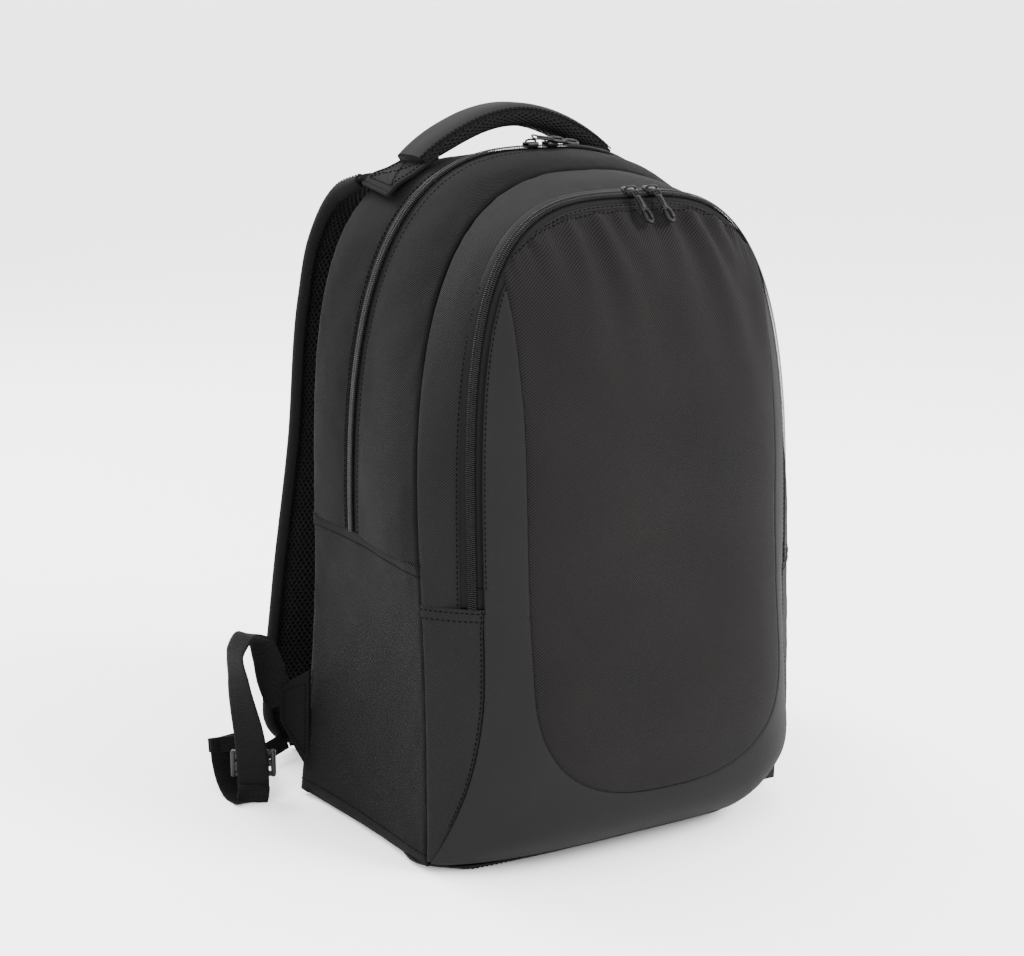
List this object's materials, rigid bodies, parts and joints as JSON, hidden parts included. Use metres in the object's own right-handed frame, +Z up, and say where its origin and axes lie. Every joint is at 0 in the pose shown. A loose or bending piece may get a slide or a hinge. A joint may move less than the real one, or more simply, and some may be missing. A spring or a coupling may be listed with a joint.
{
  "type": "school backpack",
  "caption": "Black arch-topped school backpack with a zipped main compartment, a zipped front pocket, a padded carry handle and padded shoulder straps.",
  "frame": {"origin": "centre of the flat base, on the surface that the bag stands on", "axes": "+Z up, the front pocket faces -Y, the shoulder straps are behind at +Y, X across"},
  "size_m": [0.4354, 0.3403, 0.504],
  "materials": {
    "twill": "dark charcoal polyester twill",
    "front_twill": "slightly warmer charcoal coarse twill",
    "fine_fabric": "fine plain weave",
    "mesh_fabric": "black spacer mesh over foam",
    "lining": "thin coated lining",
    "webbing": "ribbed black webbing",
    "zip_tape": "woven tape with a nylon coil",
    "black_metal": "glossy black lacquer",
    "black_plastic": "black moulded plastic",
    "board": "grey sheet plastic"
  },
  "bodies": {
    "bag": {"back_panel": "mesh_fabric", "back_board": "board", "base_panel": "fine_fabric", "base_board": "board", "rear_gusset": "twill", "side_wall_left": "twill", "side_wall_right": "twill", "side_fold_left": "twill", "side_fold_right": "twill", "lower_gusset_left": "twill", "lower_gusset_right": "twill", "gusset_fold_left": "twill", "gusset_fold_right": "twill", "front_panel_lower": "fine_fabric", "front_fold": "fine_fabric", "divider_lower": "lining", "divider_fold": "lining", "main_zip_rear": "zip_tape", "handle_end_left": "twill", "handle_end_right": "twill", "strap_yoke": "twill", "webbing_tab_left": "twill", "webbing_tab_right": "twill"},
    "front_section": {"middle_gusset": "twill", "pocket_gusset": "twill", "divider_upper": "lining", "main_zip_front": "zip_tape", "pocket_zip_rear": "zip_tape"},
    "pocket_flap": {"front_panel_upper": "front_twill", "pocket_zip_front": "zip_tape"},
    "handle": {"handle_grip": "fine_fabric"},
    "strap_left": {"strap_left": "fine_fabric", "strap_stub_left": "webbing", "webbing_left": "webbing"},
    "lock_left": {"ladder_lock_left": "black_plastic", "webbing_tail_left": "webbing"},
    "strap_right": {"strap_right": "fine_fabric", "strap_stub_right": "webbing", "webbing_right": "webbing"},
    "lock_right": {"ladder_lock_right": "black_plastic", "webbing_tail_right": "webbing"},
    "main_slider_a": {"main_slider_a": "black_metal"},
    "main_pull_a": {"main_pull_a": "black_metal"},
    "main_slider_b": {"main_slider_b": "black_metal"},
    "main_pull_b": {"main_pull_b": "black_metal"},
    "pocket_slider_a": {"pocket_slider_a": "black_metal"},
    "pocket_pull_a": {"pocket_pull_a": "black_metal"},
    "pocket_slider_b": {"pocket_slider_b": "black_metal"},
    "pocket_pull_b": {"pocket_pull_b": "black_metal"}
  },
  "joints": [
    {"name": "main_opening", "type": "hinge", "parent": "bag", "child": "front_section", "pos_m": [0, 0.0335, 0.215], "axis": [1, 0, 0], "range_deg": [0, 18], "deforming": ["side_fold_left", "side_fold_right", "gusset_fold_left", "gusset_fold_right", "front_fold", "divider_fold"]},
    {"name": "pocket_opening", "type": "hinge", "parent": "front_section", "child": "pocket_flap", "pos_m": [0, -0.12, 0.2125], "axis": [1, 0, 0], "range_deg": [0, 90]},
    {"name": "handle_tilt", "type": "hinge", "parent": "bag", "child": "handle", "pos_m": [0, 0.07, 0.47], "axis": [1, 0, 0], "range_deg": [-30, 25]},
    {"name": "strap_left_swing", "type": "hinge", "parent": "bag", "child": "strap_left", "pos_m": [0, 0.0935, 0.45], "axis": [1, 0, 0], "range_deg": [-5, 20], "deforming": ["webbing_left"]},
    {"name": "lock_left_tilt", "type": "hinge", "parent": "strap_left", "child": "lock_left", "pos_m": [-0.1928, 0.1132, 0.027], "axis": [0.8646, -0.5025, 0], "range_deg": [-25, 25], "deforming": ["webbing_tail_left"]},
    {"name": "strap_right_swing", "type": "hinge", "parent": "bag", "child": "strap_right", "pos_m": [0, 0.0935, 0.45], "axis": [1, 0, 0], "range_deg": [-5, 20], "deforming": ["webbing_right"]},
    {"name": "lock_right_tilt", "type": "hinge", "parent": "strap_right", "child": "lock_right", "pos_m": [0.1928, 0.1132, 0.027], "axis": [0.8646, 0.5025, 0], "range_deg": [-25, 25], "deforming": ["webbing_tail_right"]},
    {"name": "main_slider_a_travel", "type": "hinge", "parent": "bag", "child": "main_slider_a", "pos_m": [0, 0.02705, 0.21749], "axis": [0, 1, 0], "range_deg": [-12, 0]},
    {"name": "main_pull_a_swing", "type": "hinge", "parent": "main_slider_a", "child": "main_pull_a", "pos_m": [-0.00604, 0.02395, 0.48319], "axis": [0, -1, 0], "range_deg": [0, 150]},
    {"name": "main_slider_b_travel", "type": "hinge", "parent": "bag", "child": "main_slider_b", "pos_m": [0, 0.02705, 0.21749], "axis": [0, 1, 0], "range_deg": [0, 11]},
    {"name": "main_pull_b_swing", "type": "hinge", "parent": "main_slider_b", "child": "main_pull_b", "pos_m": [0.01007, 0.03015, 0.48076], "axis": [0, -1, 0], "range_deg": [0, 150]},
    {"name": "pocket_slider_a_travel", "type": "hinge", "parent": "pocket_flap", "child": "pocket_slider_a", "pos_m": [0, -0.08255, 0.16778], "axis": [0, 1, 0], "range_deg": [-12, 0]},
    {"name": "pocket_pull_a_swing", "type": "hinge", "parent": "pocket_slider_a", "child": "pocket_pull_a", "pos_m": [0.003, -0.08935, 0.45396], "axis": [-1, 0, 0], "range_deg": [0, 110]},
    {"name": "pocket_slider_b_travel", "type": "hinge", "parent": "pocket_flap", "child": "pocket_slider_b", "pos_m": [0, -0.08255, 0.16778], "axis": [0, 1, 0], "range_deg": [0, 8]},
    {"name": "pocket_pull_b_swing", "type": "hinge", "parent": "pocket_slider_b", "child": "pocket_pull_b", "pos_m": [0.02007, -0.08937, 0.4538], "axis": [-1, 0, 0], "range_deg": [0, 110]}
  ]
}
